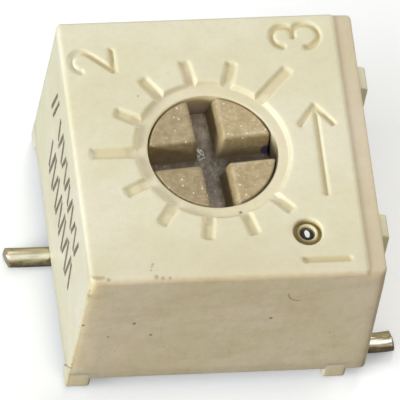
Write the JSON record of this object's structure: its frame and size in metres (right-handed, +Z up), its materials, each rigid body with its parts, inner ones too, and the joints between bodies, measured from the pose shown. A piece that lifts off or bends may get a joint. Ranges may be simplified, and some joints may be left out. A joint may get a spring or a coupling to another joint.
{
  "type": "trimmer potentiometer",
  "caption": "Sealed square trimmer potentiometer with a screwdriver-adjusted rotor and round wire leads turned outward for soldering to a circuit board.",
  "frame": {"origin": "middle of the square housing, on the plane that the undersides of the leads share (the board's surface)", "axes": "+X towards leads 1 and 3, +Y towards lead 3, +Z up through the dial"},
  "size_m": [0.0084, 0.0066, 0.0047],
  "materials": {
    "housing_plastic": "satin, finely mottled ivory",
    "rotor_plastic": "grainy khaki",
    "seal_rubber": "satin black",
    "spring_alloy": "bright",
    "alumina": "matte white",
    "cermet_ink": "matte dark grey",
    "silver_film": "satin",
    "tinned_wire": "bright tin",
    "solder": "bright",
    "potting_resin": "semi-gloss brown",
    "bead_resin": "glossy near black"
  },
  "bodies": {
    "housing": {"housing": "housing_plastic", "seal_ring": "seal_rubber", "substrate": "alumina", "resistive_track": "cermet_ink", "collector_track": "silver_film", "end_pad_1": "silver_film", "end_pad_3": "silver_film", "lead_1": "tinned_wire", "lead_2": "tinned_wire", "lead_3": "tinned_wire", "solder_joint_1": "solder", "solder_joint_2": "solder", "solder_joint_3": "solder", "potting": "potting_resin", "vent_seal": "bead_resin"},
    "rotor": {"rotor": "rotor_plastic", "wiper_spring": "spring_alloy"}
  },
  "joints": [
    {"name": "rotor_turn", "type": "hinge", "parent": "housing", "child": "rotor", "pos_m": [-0.0002, -0.00004, 0.0045], "axis": [0, 0, 1], "range_deg": [-139.3, 130.7]}
  ]
}
